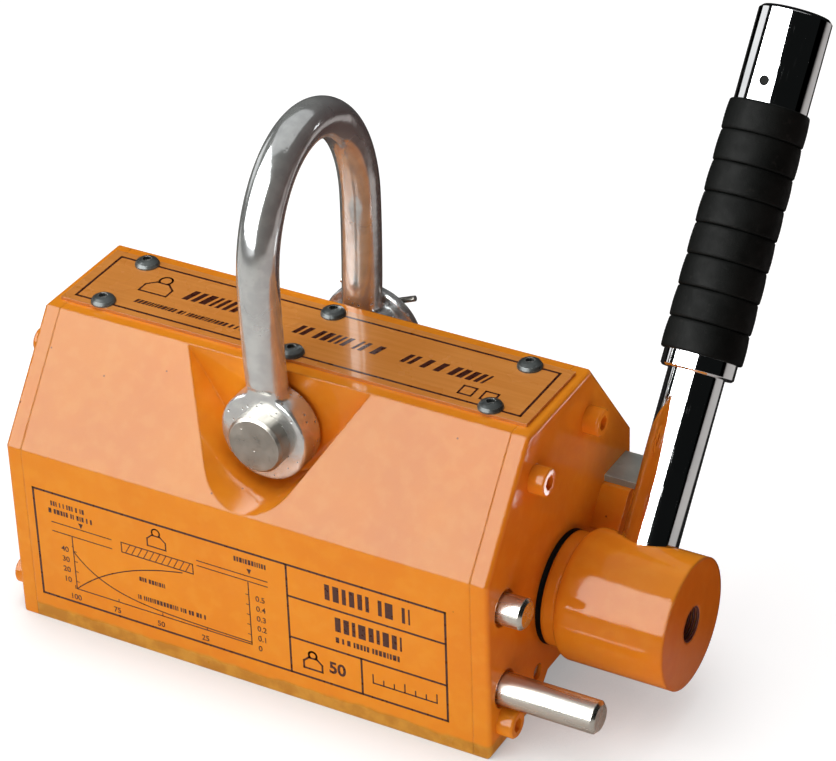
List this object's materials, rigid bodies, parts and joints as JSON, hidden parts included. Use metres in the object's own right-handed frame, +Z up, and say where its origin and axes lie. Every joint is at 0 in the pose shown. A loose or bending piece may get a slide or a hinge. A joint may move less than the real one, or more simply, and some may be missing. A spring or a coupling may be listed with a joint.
{
  "type": "permanent lifting magnet",
  "caption": "Hand-operated permanent lifting magnet: orange steel block with two pole shoes, side lever with ribbed grip, swinging shackle and V-grooved lifting face.",
  "frame": {"origin": "on the lifting face level, under the middle of the two pole shoes", "axes": "+X along the rotor axis towards the lever, +Z up towards the shackle, -Y the front with the label"},
  "size_m": [0.2085, 0.1611, 0.18],
  "materials": {
    "orange_paint": "glossy enamel with small chips and runs",
    "bare_steel": "machined, oiled",
    "chrome_plate": "polished chrome plate",
    "bright_zinc": "bright zinc plate",
    "black_steel": "black oxide",
    "aluminium_bar": "mill finish",
    "brass_bar": "machined",
    "bronze": "machined",
    "magnet": "nickel-plated magnet block",
    "plate_brass": "satin, printed border",
    "black_rubber": "soft matt",
    "black_plastic": "matt"
  },
  "bodies": {
    "housing": {"pole_shoe_front": "orange_paint", "pole_shoe_rear": "orange_paint", "top_spacer_bar": "aluminium_bar", "bottom_spacer_bar": "brass_bar", "fixed_magnets": "magnet", "end_cover_drive": "orange_paint", "end_cover_plain": "orange_paint", "cover_screws_drive": "orange_paint", "cover_screws_plain": "orange_paint", "cover_dowels": "bare_steel", "bush_drive": "bronze", "bush_plain": "bronze", "shackle_bushes": "bronze", "stop_block": "orange_paint", "stop_block_screws": "black_steel", "stop_plate": "bare_steel", "stop_pin": "bare_steel", "name_plate": "plate_brass", "name_plate_screws": "black_steel"},
    "handle_rotor": {"rotor_pole_upper": "bare_steel", "rotor_pole_lower": "bare_steel", "rotor_spacers": "brass_bar", "rotor_magnets": "magnet", "rotor_flange_drive": "bare_steel", "rotor_flange_plain": "bare_steel", "rotor_screws": "black_steel", "shaft_seal": "black_rubber", "thrust_washer": "orange_paint", "lever_hub": "orange_paint", "hub_key": "bare_steel", "hub_screw": "black_steel", "lever_rod": "chrome_plate", "lever_tube": "chrome_plate", "hand_grip": "black_rubber", "tube_end_plug": "black_plastic", "roll_pin": "bare_steel"},
    "shackle_set": {"shackle": "bright_zinc", "shackle_pin": "bare_steel", "shackle_washer": "bright_zinc", "split_pin": "bare_steel"},
    "lock_pin_set": {"lock_pin": "bare_steel", "lock_pin_ring": "bare_steel", "lock_pin_o_ring": "black_rubber"}
  },
  "joints": [
    {"name": "handle_turn", "type": "hinge", "parent": "housing", "child": "handle_rotor", "pos_m": [0.1035, 0, 0.0318], "axis": [1, 0, 0], "range_deg": [0, 124.8]},
    {"name": "shackle_swing", "type": "hinge", "parent": "housing", "child": "shackle_set", "pos_m": [0, 0, 0.0775], "axis": [0, 1, 0], "range_deg": [-48, 48]},
    {"name": "lock_pin_slide", "type": "slide", "parent": "housing", "child": "lock_pin_set", "axis": [1, 0, 0], "range_m": [0, 0.02]}
  ]
}
